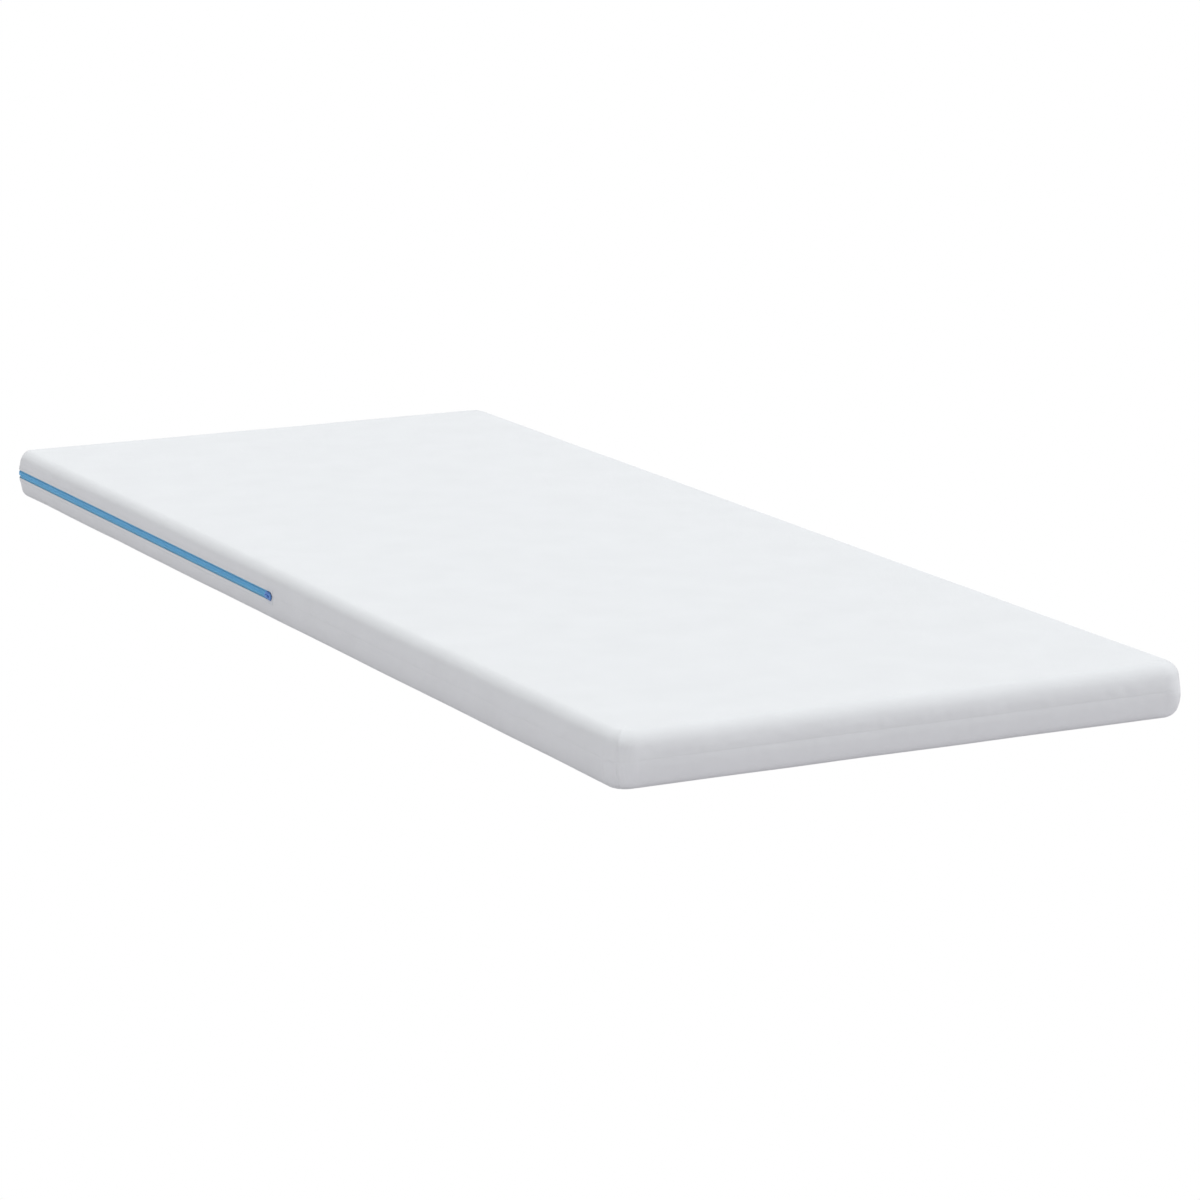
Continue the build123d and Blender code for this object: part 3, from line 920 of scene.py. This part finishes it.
INSIDE_GRID = grid_of(*INSIDE_COUNTS)
INSIDE_COLUMNS = len(sheet_columns(*INSIDE_GRID)[0])


def inside_half(way, depth, flat_depth, start):
    """Half of a layer inside the cover, from a rise on its wall to its flat face."""
    rings = section(way, depth, flat_depth, np.full(INSIDE_COLUMNS, start), *INSIDE_STEPS)
    return half_sheet(way, INSIDE_GRID, *rings)


for way, node, made, slot, cut in (
    (LOWER, "support_foam_core", support_foam, "support_foam", CORE_TOP),
    (UPPER, "memory_foam_layer", memory_foam, "memory_foam", MEMORY_LOW),
):
    points, faces, _ = inside_half(way, FOAM_DEPTH, CORE_LOW, way * (cut - SEAM))
    cut_face = list(range(INSIDE_COLUMNS))[::way]
    block = finish_piece(make(node + "_block", points, faces + [cut_face]), made, node)

film_rise = FILM_HEIGHT - SEAM
film_reach = wall_reach(film_rise, FOAM_DEPTH)
film_rings = np.outer((1.0, *FLAT_RINGS), np.full(INSIDE_COLUMNS, film_reach))
points, faces, _ = half_sheet(UPPER, INSIDE_GRID, film_rings, np.full(film_rings.shape, film_rise))
film = finish_piece(make("foam_bond_film_sheet", points, faces), bond_film, "foam_bond_film")

SOCK_FLAT_DEPTH = (SOCK_LOW + CORE_LOW) / 2
for way, side in ((UPPER, "upper"), (LOWER, "lower")):
    points, faces, facts = inside_half(way, SOCK_DEPTH, SOCK_FLAT_DEPTH, 0.0)
    panel = make(f"inner_sock_{side}_panel", points, faces, uv=unrolled(facts))
    finish_piece(panel, sock_fabric, "inner_sock")


# Floor and light

STUDIO = 40.0
STUDIO_HEIGHT = 20.0
FLOOR_COLOUR = (0.0, 0.0, 0.0)
FLOOR_GLOW = 1.0
BOUNCE_DEPTH = 0.0005
BOUNCE_COLOUR = (0.42, 0.395, 0.42)
BOUNCE_GLOW = 0.29
SKY_STRENGTH = 0.765
SUN_STRENGTH = 1.59
SUN_WIDTH = math.radians(15)
SUN_LEAN = math.radians(28)
WHITE = (1, 1, 1, 1)


def studio_piece(name, floor_height, wall_height, colour, glow):
    """A wide level floor with walls round it, which glow white."""
    plan = [(-STUDIO, -STUDIO), (STUDIO, -STUDIO), (STUDIO, STUDIO), (-STUDIO, STUDIO)]
    points = [(*corner, height) for height in (floor_height, floor_height + wall_height) for corner in plan]
    walls = lattice(2, len(plan), wrap=True).tolist()
    piece = make(name, points, [(0, 1, 2, 3), *walls])
    made, _, shader = material(name, colour, roughness=0.9, specular=0.0)
    shader.inputs["Emission Color"].default_value = WHITE
    shader.inputs["Emission Strength"].default_value = glow
    piece.data.materials.append(made)
    return piece


# The white floor and walls that are seen
floor = studio_piece("floor", 0.0, STUDIO_HEIGHT, FLOOR_COLOUR, FLOOR_GLOW)
floor.visible_diffuse = False
floor.visible_shadow = False

# A grey floor just under them that isn't seen, whose bounce lights the mattress
bounce = studio_piece("floor_bounce", -BOUNCE_DEPTH, BOUNCE_DEPTH / 2, BOUNCE_COLOUR, BOUNCE_GLOW)
bounce.visible_camera = False
bounce.visible_glossy = False

world = bpy.data.worlds.new("studio")
world.use_nodes = True
world.node_tree.nodes["Background"].inputs["Color"].default_value = WHITE
world.node_tree.nodes["Background"].inputs["Strength"].default_value = SKY_STRENGTH
bpy.context.scene.world = world

lamp = bpy.data.lights.new("from_the_right", "SUN")
lamp.energy = SUN_STRENGTH
lamp.angle = SUN_WIDTH
sun = bpy.data.objects.new("from_the_right", lamp)
sun.rotation_euler = (0, SUN_LEAN, 0)
bpy.context.scene.collection.objects.link(sun)

bpy.context.scene.view_settings.view_transform = "Standard"

# Camera fitted to the outline in the photograph
AZIMUTH = math.radians(-27.239)
ELEVATION = math.radians(12.616)
DISTANCE = 6.3544
ASIDE = 0.0863
ABOVE = -0.0087
LENS = 137.67
SENSOR = 36.0
VIEW_LIMIT = 200.0
level = math.cos(ELEVATION)
back = Vector((math.sin(AZIMUTH) * level, -math.cos(AZIMUTH) * level, math.sin(ELEVATION)))
aside = Vector((0, 0, 1)).cross(back).normalized()
above = back.cross(aside)
camera_data = bpy.data.cameras.new("camera")
camera_data.lens = LENS
camera_data.sensor_width = SENSOR
camera_data.clip_end = VIEW_LIMIT
camera = bpy.data.objects.new("camera", camera_data)
spot = back * DISTANCE + aside * ASIDE + above * ABOVE
camera.matrix_world = Matrix.Translation(spot) @ Matrix((aside, above, back)).transposed().to_4x4()
bpy.context.scene.collection.objects.link(camera)
bpy.context.scene.camera = camera
